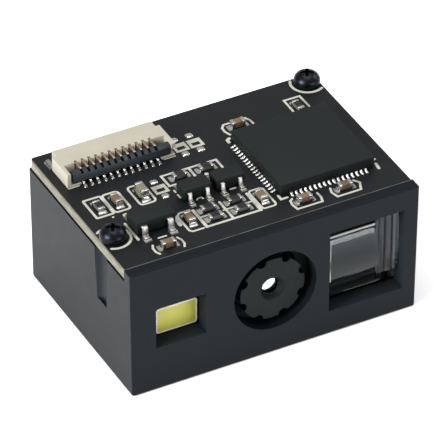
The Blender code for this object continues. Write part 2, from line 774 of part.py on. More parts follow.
def make_aimer():
    """Clear lens in the window, the plate that shapes the beam, and the LED on its board."""
    x_low, x_high = 4.15, 8.3
    z_low, z_high = 3.05, 7.4
    base = INNER_FRONT + 0.4
    lens = lens_bar("aimer_lens", (x_low, z_low), (x_high, z_high), FRONT + 0.38, FRONT + 0.95, base)
    flange = front_plate(
        "aimer_flange", (x_high - 0.5, FRONT + 0.6, 3.2), (9.6, base, 7.9), 0.4, CLEAR_RESIN, CUTTERS, 0.28
    )
    boolean(lens, flange, "UNION")
    nose = [(FRONT + 0.45, 7.48), (FRONT + 0.54, 7.68), (base, 7.68), (base, 7.48)]
    ledge = side_outline("aimer_ledge", nose, 3.5, CLEAR_RESIN, (5.95, 0, 0), CUTTERS)
    boolean(lens, as_mesh(ledge), "UNION")
    plate = block(
        "aimer_back_plate", (4.0, INNER_FRONT + 0.05, 2.0), (9.7, base + 0.3, 8.4), CLEAR_RESIN, CUTTERS
    )
    boolean(lens, plate, "UNION")
    plate = block("aimer_aperture_plate", (4.05, -4.7, 1.0), (9.65, -4.3, 8.8), BLACK_PLASTIC)
    cut_box(plate, "aimer_slit", (5.3, -6, AXIS_Z - 0.25), (8.4, -3, AXIS_Z + 0.25))
    led = block("aimer_led", (5.4, -2.95, AXIS_Z - 1.45), (8.3, -2.25, AXIS_Z + 1.45), LED_WHITE)
    dome = turned(
        "aimer_led_dome",
        [(radius, rise) for radius, rise in domed(1.2, 0.9, 6)] + [(1.2, -0.2), (0.0, -0.2)],
        CLEAR_RESIN,
        (6.85, -2.95, AXIS_Z),
        True,
        32,
        False,
        CUTTERS,
    )
    boolean(led, dome, "UNION")
    block("aimer_board", (4.3, -2.22, 1.1), (9.4, -1.5, 8.8), BOARD_LACQUER)


make_housing()
make_main_board()
make_screws()
make_connector()
make_decoder_chip()
make_gull_wing_chips()
make_chip_parts()
make_lens()
make_lens_holder()
make_sensor()
make_illumination()
make_aimer()
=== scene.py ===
"""Looks of the barcode scan engine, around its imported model. Sizes are in millimetres unless noted."""

import math

import bmesh
import bpy
from mathutils import Matrix, Vector


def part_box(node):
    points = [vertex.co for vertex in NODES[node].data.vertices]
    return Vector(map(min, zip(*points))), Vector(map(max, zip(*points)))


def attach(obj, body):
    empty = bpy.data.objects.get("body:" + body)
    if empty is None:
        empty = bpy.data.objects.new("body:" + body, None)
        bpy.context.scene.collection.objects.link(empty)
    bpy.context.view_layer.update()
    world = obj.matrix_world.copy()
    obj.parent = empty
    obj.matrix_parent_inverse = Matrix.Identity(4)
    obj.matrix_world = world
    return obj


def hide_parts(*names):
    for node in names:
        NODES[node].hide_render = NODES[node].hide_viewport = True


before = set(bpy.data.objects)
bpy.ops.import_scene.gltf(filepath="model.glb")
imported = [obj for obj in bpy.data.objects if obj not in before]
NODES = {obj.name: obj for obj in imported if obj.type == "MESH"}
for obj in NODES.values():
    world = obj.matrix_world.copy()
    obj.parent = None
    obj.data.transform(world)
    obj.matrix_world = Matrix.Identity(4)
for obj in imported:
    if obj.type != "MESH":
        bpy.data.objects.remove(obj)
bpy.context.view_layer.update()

MM = 0.001
BOARD_TOP = 9.85
BOARD_UNDER = 9.0
AXIS_X = -0.03  # the lens's optical axis, which runs along Y
AXIS_Z = 4.95
PAD_LIFT = 0.001  # pads, print and solder start this far above the board, so that no faces coincide


# ---------------------------------------------------------------- shapes


def low_high(node):
    """Lowest and highest corner of a CAD node, in millimetres."""
    low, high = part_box(node)
    return Vector(low) / MM, Vector(high) / MM


def joined(target, source):
    """Adds one bmesh to another and frees it."""
    mesh = bpy.data.meshes.new("part")
    source.to_mesh(mesh)
    source.free()
    target.from_mesh(mesh)
    bpy.data.meshes.remove(mesh)


def box(shape, low, high, radius=0.0, segments=3):
    """A box, with all its edges rounded."""
    low = Vector(low)
    high = Vector(high)
    made = bmesh.new()
    bmesh.ops.create_cube(made, size=1.0)
    bmesh.ops.scale(made, vec=high - low, verts=made.verts)
    bmesh.ops.translate(made, vec=(low + high) / 2, verts=made.verts)
    if radius:
        bmesh.ops.bevel(
            made, geom=made.edges[:], offset=radius, segments=segments, affect="EDGES", profile=0.5
        )
    joined(shape, made)


def drum(shape, centre, radius, low, high, sides=48, top_radius=None, axis="Z"):
    """A cylinder or cone along Z, or along Y."""
    made = bmesh.new()
    top = radius if top_radius is None else top_radius
    bmesh.ops.create_cone(
        made, cap_ends=True, segments=sides, radius1=radius, radius2=top, depth=high - low
    )
    middle = (low + high) / 2
    if axis == "Z":
        place = Matrix.Translation((centre[0], centre[1], middle))
    else:
        place = Matrix.Translation((centre[0], middle, centre[1])) @ Matrix.Rotation(-math.pi / 2, 4, "X")
    bmesh.ops.transform(made, matrix=place, verts=made.verts)
    joined(shape, made)


AXES = {
    "X": Matrix(((0, 0, 1, 0), (1, 0, 0, 0), (0, 1, 0, 0), (0, 0, 0, 1))),
    "Y": Matrix(((1, 0, 0, 0), (0, 0, 1, 0), (0, 1, 0, 0), (0, 0, 0, 1))),
    "Z": Matrix.Identity(4),
}


def prism(shape, outline, low, high, axis="Z", radius=0.0, segments=2, sharp=30.0):
    """An outline made solid along an axis: (y, z) points along X, (x, z) along Y, (x, y) along Z."""
    made = bmesh.new()
    corners = [made.verts.new((a, b, low)) for a, b in outline]
    face = made.faces.new(corners)
    grown = bmesh.ops.extrude_face_region(made, geom=[face])["geom"]
    moved = [item for item in grown if isinstance(item, bmesh.types.BMVert)]
    bmesh.ops.translate(made, vec=(0, 0, high - low), verts=moved)
    bmesh.ops.transform(made, matrix=AXES[axis], verts=made.verts)
    bmesh.ops.recalc_face_normals(made, faces=made.faces)
    if radius:
        limit = math.radians(sharp)
        edges = [edge for edge in made.edges if edge.calc_face_angle(0.0) > limit]
        bmesh.ops.bevel(
            made, geom=edges, offset=radius, segments=segments, affect="EDGES", profile=0.5,
            clamp_overlap=True,
        )
    joined(shape, made)


def lathe(shape, profile, place, steps=96, closed=False):
    """(radius, forward) points turned about the optical axis; forward is towards -Y."""
    made = bmesh.new()
    verts = [made.verts.new((radius, 0.0, forward)) for radius, forward in profile]
    edges = [made.edges.new(pair) for pair in zip(verts, verts[1:])]
    if closed:
        edges.append(made.edges.new((verts[-1], verts[0])))
    bmesh.ops.spin(
        made, geom=verts + edges, cent=(0, 0, 0), axis=(0, 0, 1), angle=2 * math.pi, steps=steps,
        use_merge=True,
    )
    bmesh.ops.remove_doubles(made, verts=made.verts, dist=1e-5)
    bmesh.ops.recalc_face_normals(made, faces=made.faces)
    bmesh.ops.transform(
        made, matrix=Matrix.Translation(place) @ Matrix.Rotation(math.pi / 2, 4, "X"), verts=made.verts
    )
    joined(shape, made)


ROUND_END_STEPS = 6
SHARPEST_MITRE = 0.5  # a corner's mitre never reaches further than 1 / this times half the width


def ribbon(shape, points, width, low, high, closed=False):
    """A flat line of even width along (x, y) points, with round ends."""
    made = bmesh.new()
    count = len(points)
    path = [Vector(point) for point in points]
    sides = []
    for index, point in enumerate(path):
        before = path[index - 1] if index or closed else None
        after = path[(index + 1) % count] if index < count - 1 or closed else None
        directions = []
        if before is not None:
            directions.append((point - before).normalized())
        if after is not None:
            directions.append((after - point).normalized())
        along = sum(directions, Vector((0, 0))).normalized()
        across = Vector((-along.y, along.x))
        stretch = 1 / max(SHARPEST_MITRE, across.dot(Vector((-directions[0].y, directions[0].x))))
        sides.append((point + across * width / 2 * stretch, point - across * width / 2 * stretch))
    pairs = [
        (made.verts.new((*left, low)), made.verts.new((*right, low))) for left, right in sides
    ]
    steps = list(zip(pairs, pairs[1:]))
    if closed:
        steps.append((pairs[-1], pairs[0]))
    for (left, right), (next_left, next_right) in steps:
        made.faces.new((left, next_left, next_right, right))
    if not closed:
        for end, inner, pair in ((path[0], path[1], pairs[0]), (path[-1], path[-2], pairs[-1])):
            out = (end - inner).normalized()
            start = (Vector(pair[0].co[:2]) - end).normalized()
            turn = 1 if start.cross(out) > 0 else -1
            fan = [pair[0]]
            for step in range(1, ROUND_END_STEPS):
                angle = turn * math.pi * step / ROUND_END_STEPS
                spoke = Vector(
                    (
                        start.x * math.cos(angle) - start.y * math.sin(angle),
                        start.x * math.sin(angle) + start.y * math.cos(angle),
                    )
                )
                fan.append(made.verts.new((*(end + spoke * width / 2), low)))
            fan.append(pair[1])
            made.faces.new(fan)
    grown = bmesh.ops.extrude_face_region(made, geom=made.faces[:])["geom"]
    moved = [item for item in grown if isinstance(item, bmesh.types.BMVert)]
    bmesh.ops.translate(made, vec=(0, 0, high - low), verts=moved)
    bmesh.ops.recalc_face_normals(made, faces=made.faces)
    joined(shape, made)


def rounded_outline(low, high, radius, steps=4):
    """Corner points of a rectangle with round corners, in order."""
    corners = (
        (high[0] - radius, high[1] - radius, 0),
        (low[0] + radius, high[1] - radius, 90),
        (low[0] + radius, low[1] + radius, 180),
        (high[0] - radius, low[1] + radius, 270),
    )
    points = []
    for x, y, start in corners:
        for step in range(steps + 1):
            angle = math.radians(start + 90 * step / steps)
            points.append((x + radius * math.cos(angle), y + radius * math.sin(angle)))
    return points


def arc(centre, radius, start, end, steps=16):
    """Points of an arc, angles in degrees."""
    angles = [math.radians(start + (end - start) * step / steps) for step in range(steps + 1)]
    return [(centre[0] + radius * math.cos(a), centre[1] + radius * math.sin(a)) for a in angles]


# ---------------------------------------------------------------- pieces


SMOOTH_ANGLE = math.radians(32)  # edges sharper than this stay sharp in the shading


def piece(name, shape, paint, body="root", stands_for=()):
    """Makes the object from a bmesh in millimetres, hangs it on the empty of the body it rides on and hides
    the CAD nodes it stands for.
    """
    bmesh.ops.scale(shape, vec=(MM, MM, MM), verts=shape.verts)
    mesh = bpy.data.meshes.new(name)
    shape.to_mesh(mesh)
    shape.free()
    mesh.shade_smooth()
    mesh.set_sharp_from_angle(angle=SMOOTH_ANGLE)
    made = bpy.data.objects.new(name, mesh)
    bpy.context.scene.collection.objects.link(made)
    mesh.materials.append(paint)
    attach(made, body)
    if stands_for:
        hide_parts(*stands_for)
    return made


def softened(node, paint, width, body="root", segments=2):
    """A copy of a CAD node's own shape with its flat faces whole again and its edges rounded."""
    shape = bmesh.new()
    shape.from_mesh(NODES[node].data)
    bmesh.ops.scale(shape, vec=(1 / MM,) * 3, verts=shape.verts)
    bmesh.ops.remove_doubles(shape, verts=shape.verts, dist=2e-4)
    bmesh.ops.dissolve_limit(
        shape, angle_limit=math.radians(1.5), verts=shape.verts, edges=shape.edges
    )
    made = piece(node + "_look", shape, paint, body, (node,))
    soften(made, width, segments)
    return made


def soften(made, width, segments=2):
    """Rounds a piece's sharp edges and keeps its flat faces flat."""
    bevel = made.modifiers.new("soft_edges", "BEVEL")
    bevel.width = width * MM
    bevel.segments = segments
    bevel.limit_method = "ANGLE"
    bevel.angle_limit = math.radians(35)
    bevel.miter_outer = "MITER_ARC"
    bevel.harden_normals = True
    even = made.modifiers.new("even_shading", "WEIGHTED_NORMAL")
    even.keep_sharp = True
    even.weight = 80


def repaint(node, paint):
    """Gives a CAD node that stays a finished material."""
    slots = NODES[node].data.materials
    slots.clear()
    slots.append(paint)


# ---------------------------------------------------------------- materials

NOISE_LOW = 0.3  # most of a noise's values lie between these two
NOISE_HIGH = 0.7


class Paint:
    """A Principled material whose nodes are added one by one."""

    def __init__(self, name, colour, roughness, metallic=0.0, **sockets):
        self.material = bpy.data.materials.new(name)
        self.material.use_nodes = True
        self.nodes = self.material.node_tree.nodes
        self.links = self.material.node_tree.links
        self.shader = self.nodes["Principled BSDF"]
        self.shader.inputs["Base Color"].default_value = (*colour, 1.0)
        self.shader.inputs["Roughness"].default_value = roughness
        self.shader.inputs["Metallic"].default_value = metallic
        for socket, value in sockets.items():
            self.shader.inputs[socket.replace("_", " ")].default_value = value
        self.place = self.nodes.new("ShaderNodeTexCoord").outputs["Object"]

    def noise(self, size, detail=3.0, stretch=(1, 1, 1)):
        """Noise whose grain is about size millimetres across."""
        scaled = self.nodes.new("ShaderNodeMapping")
        scaled.inputs["Scale"].default_value = stretch
        self.links.new(self.place, scaled.inputs["Vector"])
        texture = self.nodes.new("ShaderNodeTexNoise")
        texture.inputs["Scale"].default_value = 1 / (size * MM)
        texture.inputs["Detail"].default_value = detail
        texture.inputs["Roughness"].default_value = 0.55
        self.links.new(scaled.outputs["Vector"], texture.inputs["Vector"])
        return texture.outputs["Fac"]

    def along(self, axis, low, high):
        """0 to 1 between two places on an axis, in millimetres."""
        parts = self.nodes.new("ShaderNodeSeparateXYZ")
        self.links.new(self.place, parts.inputs["Vector"])
        made = self.nodes.new("ShaderNodeMapRange")
        made.inputs["From Min"].default_value = low * MM
        made.inputs["From Max"].default_value = high * MM
        self.links.new(parts.outputs[axis], made.inputs["Value"])
        return made.outputs["Result"]

    def ramp(self, source, stops):
        """Colours along a source value."""
        made = self.nodes.new("ShaderNodeValToRGB")
        made.color_ramp.elements.remove(made.color_ramp.elements[1])
        for index, (position, colour) in enumerate(stops):
            if index:
                made.color_ramp.elements.new(position)
            made.color_ramp.elements[index].position = position
            made.color_ramp.elements[index].color = (*colour, 1.0)
        self.links.new(source, made.inputs["Fac"])
        return made.outputs["Color"]

    def colour(self, source, stops):
        """Base colour from a ramp along a source value."""
        self.links.new(self.ramp(source, stops), self.shader.inputs["Base Color"])
        return self

    def rough(self, source, low, high):
        """Roughness that follows a noise from low to high."""
        made = self.nodes.new("ShaderNodeMapRange")
        made.inputs["From Min"].default_value = NOISE_LOW
        made.inputs["From Max"].default_value = NOISE_HIGH
        made.inputs["To Min"].default_value = low
        made.inputs["To Max"].default_value = high
        self.links.new(source, made.inputs["Value"])
        self.links.new(made.outputs["Result"], self.shader.inputs["Roughness"])
        return self

    def bump(self, source, height):
        """Relief of a few micrometres; height is in millimetres."""
        made = self.nodes.new("ShaderNodeBump")
        made.inputs["Distance"].default_value = height * MM
        made.inputs["Strength"].default_value = 1.0
        self.links.new(source, made.inputs["Height"])
        self.links.new(made.outputs["Normal"], self.shader.inputs["Normal"])
        return self


def shades(colour, spread):
    """The colour a little darker and a little lighter, as ramp stops."""
    darker = tuple(c * (1 - spread) for c in colour)
    lighter = tuple(c * (1 + spread) for c in colour)
    return ((0.3, darker), (0.5, colour), (0.72, lighter))


def moulded(name, colour, roughness, grain=0.06, relief=0.002, spread=0.12, drift=0.05, **sockets):
    """Moulded plastic: fine spark-eroded grain and slow drifts of tone and gloss."""
    paint = Paint(name, colour, roughness, **sockets)
    paint.colour(paint.noise(1.6, 4.0), shades(colour, spread))
    paint.rough(paint.noise(1.1, 4.0), roughness - drift, roughness + drift)
    paint.bump(paint.noise(grain, 2.0), relief)
    return paint.material


def metal(name, colour, roughness, grain=0.09, relief=0.004):
    """Metal with a fine grain and small patches of tone and gloss."""
    paint = Paint(name, colour, roughness, 1.0)
    paint.colour(paint.noise(0.35, 3.0), shades(colour, 0.08))
    paint.rough(paint.noise(0.2, 3.0), roughness - 0.07, roughness + 0.1)
    paint.bump(paint.noise(grain, 2.0), relief)
    return paint.material


def glass_epoxy():
    """Board core: pale fibreglass, its cloth layers fine bands along the cut edge, darker near the top."""
    paint = Paint("glass_epoxy", (0.42, 0.42, 0.32), 0.62, Specular_IOR_Level=0.35)
    bands = paint.noise(0.11, 2.0, (0.12, 0.12, 1.0))
    cloth = paint.ramp(
        bands,
        ((0.3, (0.1, 0.098, 0.07)), (0.48, (0.155, 0.153, 0.115)), (0.68, (0.22, 0.216, 0.17))),
    )
    # Lighter towards the bottom of the core and darker towards the top.
    tone_by_height = paint.ramp(
        paint.along("Z", BOARD_UNDER, BOARD_TOP),
        (
            (0.0, (1.5, 1.5, 1.5)), (0.12, (1.0, 1.0, 1.0)), (0.6, (0.95, 0.93, 0.9)),
            (0.95, (0.35, 0.32, 0.3)),
        ),
    )
    both = paint.nodes.new("ShaderNodeMix")
    both.data_type = "RGBA"
    both.blend_type = "MULTIPLY"
    both.inputs["Factor"].default_value = 1.0
    paint.links.new(cloth, both.inputs["A"])
    paint.links.new(tone_by_height, both.inputs["B"])
    paint.links.new(both.outputs["Result"], paint.shader.inputs["Base Color"])
    paint.bump(paint.noise(0.05, 3.0, (0.3, 0.3, 1.0)), 0.006)
    return paint.material


def tinned_bronze():
    """Bronze contact whose front end, the tip over the lock and the solder tail, is tinned."""
    paint = Paint("tinned_bronze", (0.5, 0.4, 0.3), 0.32, 1.0)
    paint.colour(paint.along("Y", 3.6, 3.8), ((0.0, (0.68, 0.66, 0.62)), (1.0, (0.5, 0.38, 0.27))))
    paint.rough(paint.noise(0.2, 3.0), 0.25, 0.4)
    paint.bump(paint.noise(0.06, 2.0), 0.002)
    return paint.material


# After the name: colour, roughness, grain and relief. Moulded paints go on with spread of tone and of gloss
HOUSING = moulded(
    "housing_plastic", (0.0028, 0.0038, 0.0052), 0.42, 0.07, 0.002, 0.06, 0.015,
    Specular_IOR_Level=0.143, Specular_Tint=(0.8, 0.9, 1.0, 1.0),
)
# Painted light: the sides of the windows and of the lens hole are the housing's plastic painted paler,
# standing in for light that falls into them.
WINDOW_SIDE_LIT = moulded("window_side_painted_light", (0.012, 0.0165, 0.02), 0.6, 0.07, 0.002, Specular_IOR_Level=0.1)
BORE_SIDE_LIT = moulded("bore_side_painted_light", (0.0033, 0.005, 0.0062), 0.6, 0.07, 0.002, Specular_IOR_Level=0.1)
# Painted highlight: a pale paint for the thin strip along the lip's back edge.
LIP_HIGHLIGHT = moulded("lip_painted_highlight", (0.06, 0.063, 0.062), 0.5, 0.1, 0.003, 0.7)
LENS_BLACK = moulded("lens_plastic", (0.003, 0.0055, 0.0065), 0.5, 0.08, 0.002, Specular_IOR_Level=0.15)
SOLDER_MASK = moulded("solder_mask", (0.004, 0.0048, 0.0058), 0.42, 0.25, 0.003, Specular_IOR_Level=0.21)
GLASS_EPOXY = glass_epoxy()
SILK = moulded("white_print", (0.36, 0.358, 0.312), 0.6, 0.05, 0.003)
SOLDER = metal("solder_tin", (0.6, 0.59, 0.57), 0.2, 0.12, 0.006)
LEAD_TIN = metal("lead_tin", (0.36, 0.355, 0.34), 0.36, 0.06, 0.002)
PIN_TIN = metal("pin_tin", (0.82, 0.81, 0.78), 0.42, 0.06, 0.002)
EPOXY = moulded(
    "chip_epoxy", (0.0045, 0.0072, 0.007), 0.6, 0.05, 0.002, 0.08, 0.02, Specular_IOR_Level=0.18
)
CREAM = moulded("connector_cream", (0.317, 0.295, 0.24), 0.48, 0.09, 0.002, 0.05)
BRONZE = tinned_bronze()
LOCK = moulded("lock_plastic", (0.012, 0.0175, 0.021), 0.45, 0.07, 0.002, Specular_IOR_Level=0.32)
SCREW = metal("black_screw", (0.0145, 0.0168, 0.0208), 0.31, 0.05, 0.002)
BROWN = moulded("ceramic_brown", (0.1, 0.064, 0.034), 0.4, 0.04, 0.003, 0.4)
OLIVE = moulded("ceramic_olive", (0.12, 0.116, 0.072), 0.5, 0.04, 0.003, 0.15)
RESISTOR = moulded("resistor_glaze", (0.008, 0.008, 0.009), 0.35, 0.06, 0.002, Specular_IOR_Level=0.35)
ALUMINA = moulded("resistor_ceramic", (0.075, 0.075, 0.075), 0.6, 0.04, 0.003)
LED_WHITE = moulded("led_package", (0.78, 0.77, 0.68), 0.45, 0.08, 0.002, 0.04)
PHOSPHOR = moulded("phosphor", (0.54, 0.525, 0.09), 0.42, 0.05, 0.003, 0.07)


def clear(name, colour, roughness, ior, ripple):
    """Clear glass or resin, a little hazier in patches."""
    paint = Paint(name, colour, roughness, Transmission_Weight=1.0, IOR=ior)
    paint.rough(paint.noise(ripple, 2.0), roughness, roughness + 0.02)
    return paint.material


def resin_grey(*stops):
    """Ramp stops of one slightly blue grey: (position, shade) pairs."""
    return tuple((position, (shade * 0.9, shade * 0.96, shade)) for position, shade in stops)


FLANGE_START = 7.8  # X where the aimer lens's bar ends and its flange begins


def resin_with_painted_light():
    """Clear resin of the aimer lens with painted light: painted highlight bands on its bar and its flange,
    and painted shadow lines under its ledge and between the flange's bands.
    """
    paint = Paint("clear_resin", (0.9, 0.92, 0.95), 0.015, Transmission_Weight=1.0, IOR=1.42)
    # Up the bar: a painted highlight band for the reflection along its top, a painted shadow line under the
    # ledge, and a painted highlight on the ledge's nose.
    bar = paint.ramp(
        paint.along("Z", 2.5, 8.0),
        resin_grey(
            (0.0, 0.42), (0.58, 0.42), (0.73, 0.64), (0.8, 0.98), (0.826, 0.98), (0.834, 0.04), (0.9, 0.04),
            (0.908, 0.98), (0.934, 0.98), (0.938, 0.04),
        ),
    )
    # Across the flange: painted highlight bands with painted shade lines between them.
    flange = paint.ramp(
        paint.along("X", FLANGE_START, 9.8),
        resin_grey(
            (0.0, 0.5), (0.3, 0.55), (0.32, 0.06), (0.36, 0.06), (0.38, 0.8), (0.575, 0.6), (0.6, 0.12),
            (0.64, 0.12), (0.66, 0.85), (0.8, 1.0),
        ),
    )
    painted_light_mix = paint.nodes.new("ShaderNodeMix")
    painted_light_mix.data_type = "RGBA"
    paint.links.new(paint.along("X", FLANGE_START, FLANGE_START + 0.04), painted_light_mix.inputs["Factor"])
    paint.links.new(bar, painted_light_mix.inputs["A"])
    paint.links.new(flange, painted_light_mix.inputs["B"])
    paint.links.new(painted_light_mix.outputs["Result"], paint.shader.inputs["Base Color"])
    paint.links.new(painted_light_mix.outputs["Result"], paint.shader.inputs["Specular Tint"])
    paint.rough(paint.noise(0.8, 2.0), 0.045, 0.065)
    return paint.material


COATED_GLASS = clear("coated_glass", (0.93, 0.96, 1.0), 0.01, 1.8, 0.8)
MIRROR_GLASS = metal("mirror_coated_glass", (0.86, 0.88, 0.9), 0.05, 0.5, 0.0005)
CAVITY = moulded(
    "cavity_black", (0.009, 0.012, 0.014), 0.7, 0.1, 0.002, 0.1, 0.02, Specular_IOR_Level=0.08
)
CLEAR_RESIN_PAINTED_LIGHT = resin_with_painted_light()
APERTURE_BLACK = moulded("aperture_plastic", (0.05, 0.055, 0.06), 0.6, 0.1, 0.002)
# Painted highlight: a pale paint for thin strips that stand in for glints on the aimer lens's edges.
RESIN_HIGHLIGHT = moulded("resin_painted_highlight", (0.34, 0.34, 0.325), 0.25, 0.3, 0.003, 0.35)


# ---------------------------------------------------------------- housing

WIDTH = 21.5
DEPTH = 14.9
FRONT = -DEPTH / 2
SIDE_TOP = 9.0
LIP_TOP = 9.95
LIP_BACK = FRONT + 0.88
INNER_FRONT = FRONT + 1.25
HOUSING_CORNER = 0.15
WINDOW_LIP = INNER_FRONT + 0.3  # window and hole cutters end here, inside the compartments
COMPARTMENT_FLOOR = 0.9
SIDE_WALL = 1.0
FOOT_TAPER = 0.12  # the housing is this much narrower at its foot, on each side
WINDOW_NEAR = 3.9  # the two windows lie between these distances from the middle
WINDOW_FAR = 9.8
WINDOWS_LOW = 1.8  # and the windows and the lens hole between these heights
WINDOWS_HIGH = 8.4


def cutter(name, shape):
    """A hidden shape to cut with."""
    bmesh.ops.scale(shape, vec=(MM, MM, MM), verts=shape.verts)
    mesh = bpy.data.meshes.new(name)
    shape.to_mesh(mesh)
    shape.free()
    return bpy.data.objects.new(name, mesh)


def carve(made, tools):
    """Cuts the cutters from a piece and removes them."""
    for tool in tools:
        bpy.context.scene.collection.objects.link(tool)
        modifier = made.modifiers.new(tool.name, "BOOLEAN")
        modifier.operation = "DIFFERENCE"
        modifier.solver = "EXACT"
        modifier.object = tool
    bpy.context.view_layer.update()
    graph = bpy.context.evaluated_depsgraph_get()
    mesh = bpy.data.meshes.new_from_object(made.evaluated_get(graph))
    made.modifiers.clear()
    old = made.data
    made.data = mesh
    bpy.data.meshes.remove(old)
    for tool in tools:
        mesh_used = tool.data
        bpy.data.objects.remove(tool)
        bpy.data.meshes.remove(mesh_used)
    shape = bmesh.new()
    shape.from_mesh(mesh)
    bmesh.ops.remove_doubles(shape, verts=shape.verts, dist=1e-7)
    bmesh.ops.dissolve_limit(shape, angle_limit=math.radians(0.5), verts=shape.verts, edges=shape.edges)
    shape.to_mesh(mesh)
    shape.free()
    mesh.shade_smooth()
    mesh.set_sharp_from_angle(angle=SMOOTH_ANGLE)


def box_cutter(name, low, high):
    """A box to cut with."""
    shape = bmesh.new()
    box(shape, low, high)
    return cutter(name, shape)


def drum_cutter(name, centre, radius, low, high, sides=96, top_radius=None, axis="Z"):
    """A cylinder or cone to cut with."""
    shape = bmesh.new()
    drum(shape, centre, radius, low, high, sides, top_radius, axis)
    return cutter(name, shape)


def paint_light_on_window_sides(mesh):
    """The sides of the windows and of the lens hole get the housing's plastic painted paler, as painted
    light for the light falling into them; these paints are also rougher.
    """
    windows = len(mesh.materials)
    mesh.materials.append(WINDOW_SIDE_LIT)
    mesh.materials.append(BORE_SIDE_LIT)
    for face in mesh.polygons:
        x, y, z = face.center / MM
        in_wall = FRONT + 0.1 < y < INNER_FRONT and abs(face.normal.y) < 0.5
        if in_wall and abs(x) < WINDOW_FAR and WINDOWS_LOW < z < WINDOWS_HIGH:
            face.material_index = windows if abs(x) > WINDOW_NEAR else windows + 1


def make_housing():
    """The moulding with its lip, compartments, windows and side groove, and a pale strip behind its lip that
    is a painted highlight.
    """
    shape = bmesh.new()
    bmesh.ops.create_cube(shape, size=1.0)
    bmesh.ops.scale(shape, vec=(WIDTH, DEPTH, LIP_TOP), verts=shape.verts)
    bmesh.ops.translate(shape, vec=(0, 0, LIP_TOP / 2), verts=shape.verts)
    for corner in shape.verts:
        if corner.co.z < 1:
            corner.co.x -= math.copysign(FOOT_TAPER, corner.co.x)
    bmesh.ops.bevel(
        shape, geom=shape.edges[:], offset=HOUSING_CORNER, segments=4, affect="EDGES", profile=0.5
    )
    made = piece("housing_look", shape, HOUSING, stands_for=("housing",))
    over = LIP_TOP + 1
    side = WIDTH / 2 + 1
    inner = WIDTH / 2 - SIDE_WALL
    floor = COMPARTMENT_FLOOR
    carve(
        made,
        [
            box_cutter("recess", (-side, LIP_BACK, SIDE_TOP), (side, DEPTH, over)),
            box_cutter("led_side", (-inner, INNER_FRONT, floor), (-4.05, 0, over)),
            box_cutter("aimer_side", (3.95, INNER_FRONT, floor), (inner, 0, over)),
            box_cutter("lens_side", (-3.5, INNER_FRONT, floor), (3.45, 0, over)),
            box_cutter("rear", (-inner, -1.2, floor), (inner, DEPTH / 2 - SIDE_WALL, over)),
            drum_cutter("groove", (-11.91, -3.2), 1.4, 5.0, SIDE_TOP + 1, 128, 1.5),
            box_cutter("led_window", (-8.87, FRONT - 1, 3.405), (-5.1, WINDOW_LIP, 6.655)),
            box_cutter("aimer_window", (4.02, FRONT - 1, 1.85), (9.65, WINDOW_LIP, 8.3)),
            drum_cutter("lens_hole", (AXIS_X, 5.07), 3.07, FRONT - 1, WINDOW_LIP, 160, axis="Y"),
            drum_cutter("pilot_left", (-7.5, 5.0), 0.6, -1, 0.55, 48),
            drum_cutter("pilot_right", (7.5, 5.0), 0.6, -1, 0.55, 48),
        ],
    )
    paint_light_on_window_sides(made.data)
    soften(made, 0.05)
    # A thin pale strip along the lip's back edge: a painted highlight.
    edge = bmesh.new()
    low = (-WIDTH / 2 + 0.15, LIP_BACK - 0.055, LIP_TOP - 0.01)
    high = (WIDTH / 2 - 0.1, LIP_BACK - 0.005, LIP_TOP + 0.012)
    box(edge, low, high, 0.006, 1)
    piece("lip_painted_highlight", edge, LIP_HIGHLIGHT)


# ---------------------------------------------------------------- board

BOARD_LOW, BOARD_HIGH = low_high("main_board")
SCREWS = {"board_screw_front_left": (-9.75, -3.05), "board_screw_back_right": (9.8, 6.45)}
SCREW_HOLE_RADIUS = 0.6
MASK_THICKNESS = 0.03
CHIP_CENTRE = (5.65, -0.57)


def board_outline():
    """The board's plan, with its back right corner well rounded and the others slightly."""
    low = (BOARD_LOW.x, BOARD_LOW.y)
    high = (BOARD_HIGH.x, BOARD_HIGH.y)
    turn = 0.6
    points = rounded_outline(low, high, 0.12, 3)
    return arc((high[0] - turn, high[1] - turn), turn, 0, 90, 6) + points[4:]


def board_layer(name, low, high, paint, stands_for=()):
    """One layer of the board, with its two screw holes."""
    shape = bmesh.new()
    prism(shape, board_outline(), low, high)
    made = piece(name, shape, paint, stands_for=stands_for)
    holes = [
        drum_cutter(f"{name}_hole_{index}", place, SCREW_HOLE_RADIUS, 8, 11, 48)
        for index, place in enumerate(SCREWS.values())
    ]
    carve(made, holes)


def make_board():
    """Fibreglass core between two thin layers of black lacquer."""
    core_low = BOARD_LOW.z + MASK_THICKNESS
    core_high = BOARD_TOP - MASK_THICKNESS
    board_layer("board_core", core_low, core_high, GLASS_EPOXY, ("main_board",))
    board_layer("board_mask_top", core_high, BOARD_TOP, SOLDER_MASK)
    board_layer("board_mask_under", BOARD_LOW.z, core_low, SOLDER_MASK)


